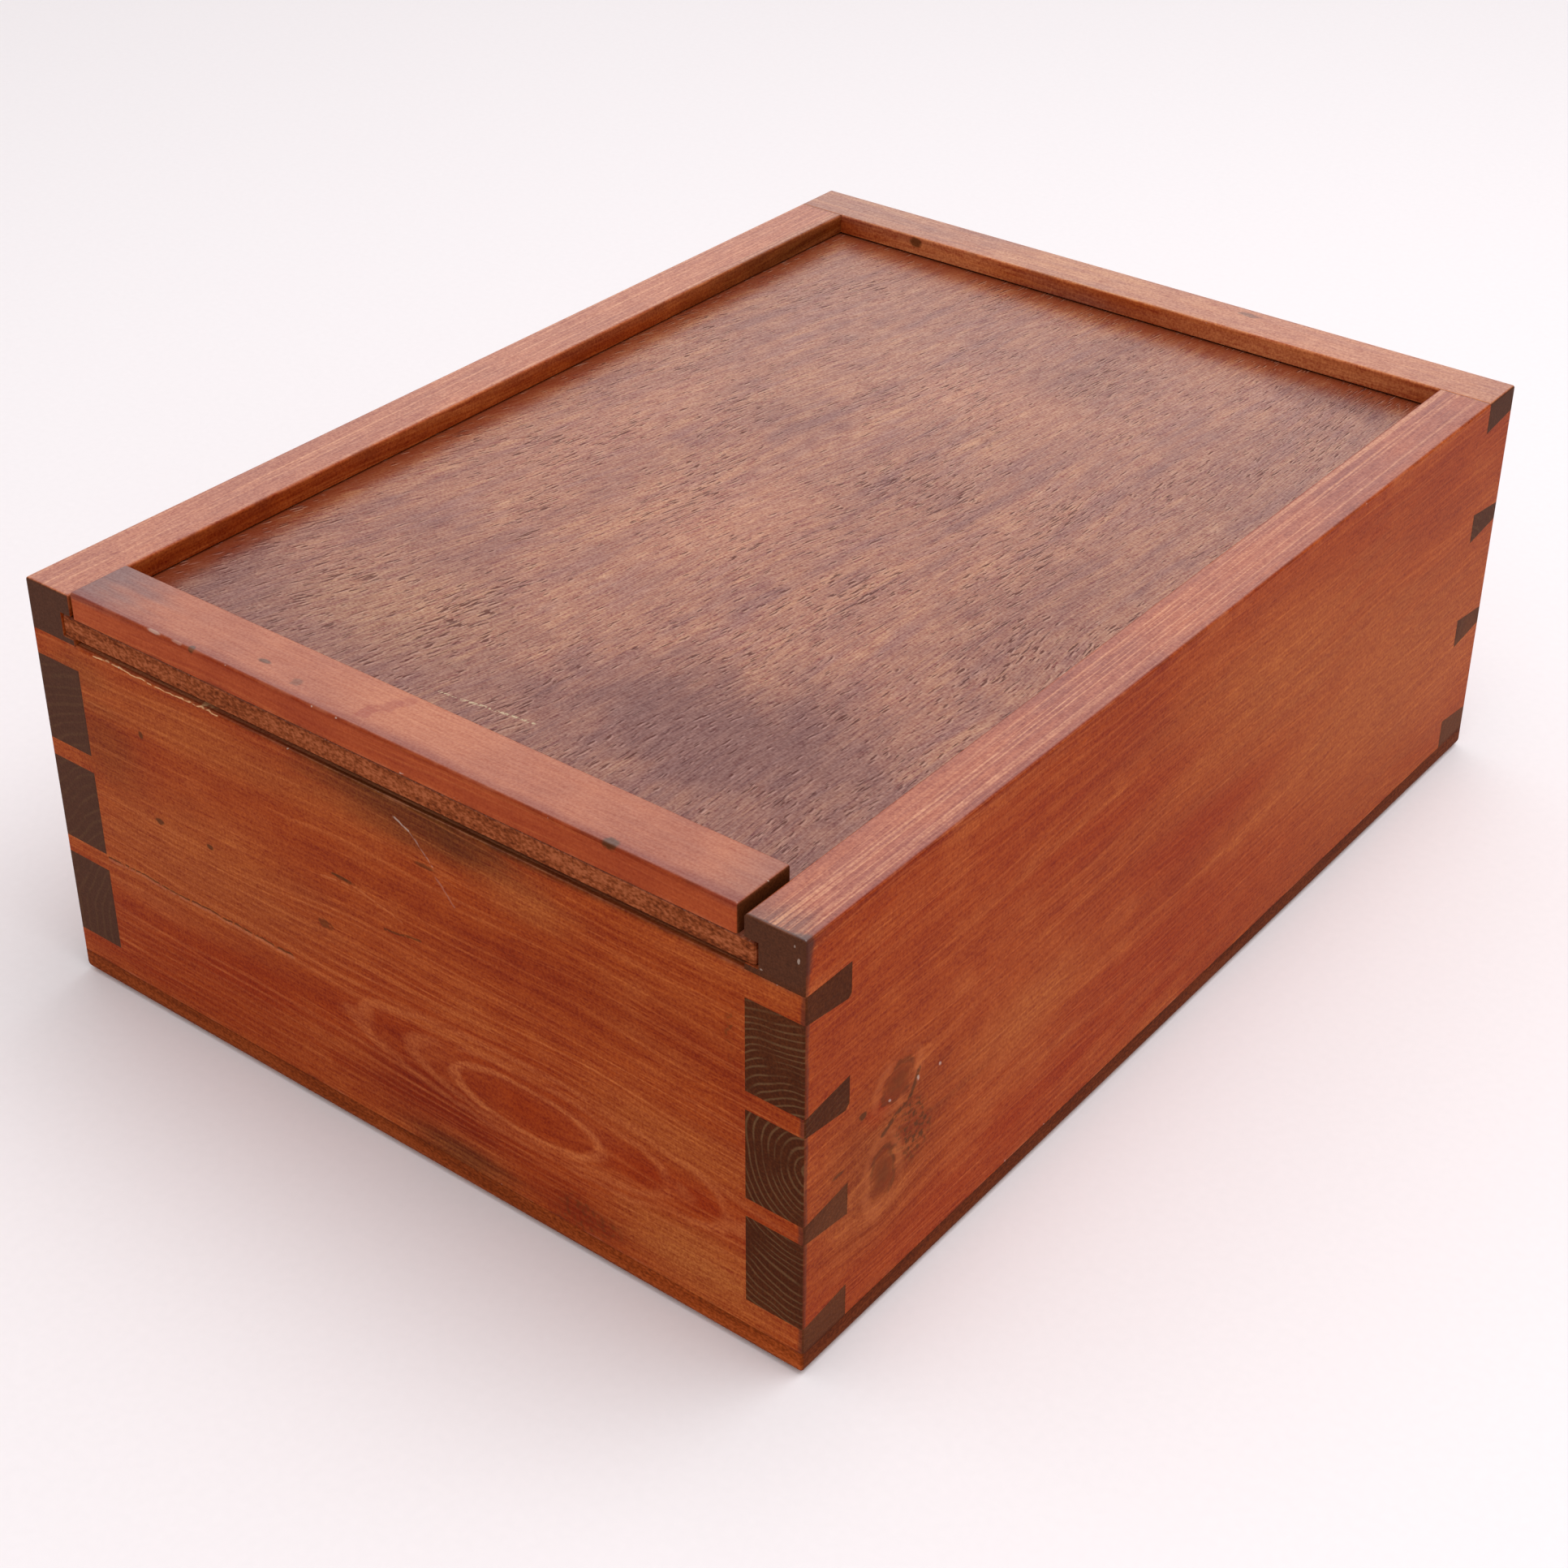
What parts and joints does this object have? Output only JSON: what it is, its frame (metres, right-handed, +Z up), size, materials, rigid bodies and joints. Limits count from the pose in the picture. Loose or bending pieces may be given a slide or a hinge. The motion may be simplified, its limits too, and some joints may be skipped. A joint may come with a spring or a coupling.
{
  "type": "sliding-lid tool chest",
  "caption": "Shallow dovetailed wooden tool chest; a plywood lid with a front batten slides forward in grooves in the side boards and comes right out.",
  "frame": {"origin": "middle of the bottom board's underside, on the surface that the chest stands on", "axes": "+X across the front to the right, +Y from the lid's open front end to the back, +Z up"},
  "size_m": [0.297, 0.406, 0.1498],
  "materials": {
    "stained_softwood": "red-brown stain under satin varnish",
    "lid_veneer_plywood": "dark red-brown stain, worn satin varnish, open pores",
    "bottom_plywood": "dark red-brown stain on plywood edge",
    "nail_steel": "dulled bright steel"
  },
  "bodies": {
    "case": {"side_board_left": "stained_softwood", "side_board_right": "stained_softwood", "front_board": "stained_softwood", "back_board": "stained_softwood", "bottom_board": "bottom_plywood", "bottom_nails": "nail_steel"},
    "lid": {"lid_panel": "lid_veneer_plywood", "lid_batten": "stained_softwood", "batten_screws": "nail_steel"}
  },
  "joints": [
    {"name": "lid_slide", "type": "slide", "parent": "case", "child": "lid", "axis": [0, -1, 0], "range_m": [0, 0.42]}
  ]
}
